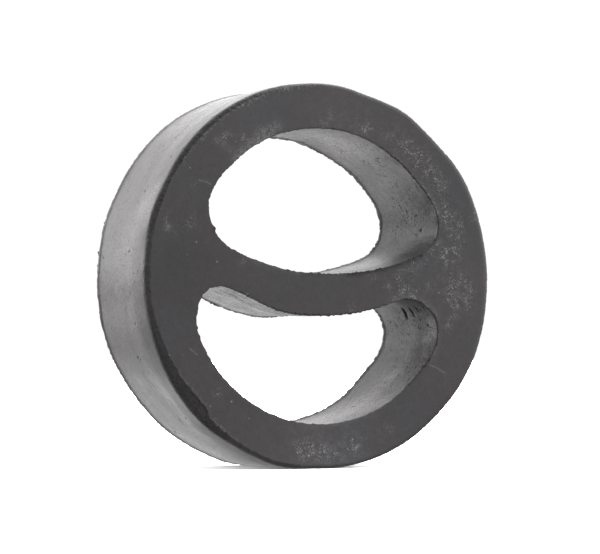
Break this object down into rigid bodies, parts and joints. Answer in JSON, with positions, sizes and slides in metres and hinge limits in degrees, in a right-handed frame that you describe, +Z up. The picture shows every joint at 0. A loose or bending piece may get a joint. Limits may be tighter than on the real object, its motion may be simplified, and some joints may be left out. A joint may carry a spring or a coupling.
{
  "type": "exhaust hanger",
  "caption": "Round moulded rubber exhaust hanger: a thick ring with a curved web across the middle that leaves an upper and a lower eye for the body hook and the exhaust hook.",
  "frame": {"origin": "centre of the ring's bounding box, halfway between its front and back faces", "axes": "+Z up as the hanger hangs, with the round-topped eye above the web; the eyes run along Y and the bevelled front face looks along -Y; +X to the right seen from the front"},
  "size_m": [0.0648, 0.0206, 0.0648],
  "materials": {
    "rubber": "matt black rubber, scuffed and dusty, paler on its walls"
  },
  "bodies": {
    "root": {"hanger_ring": "rubber"}
  },
  "joints": []
}
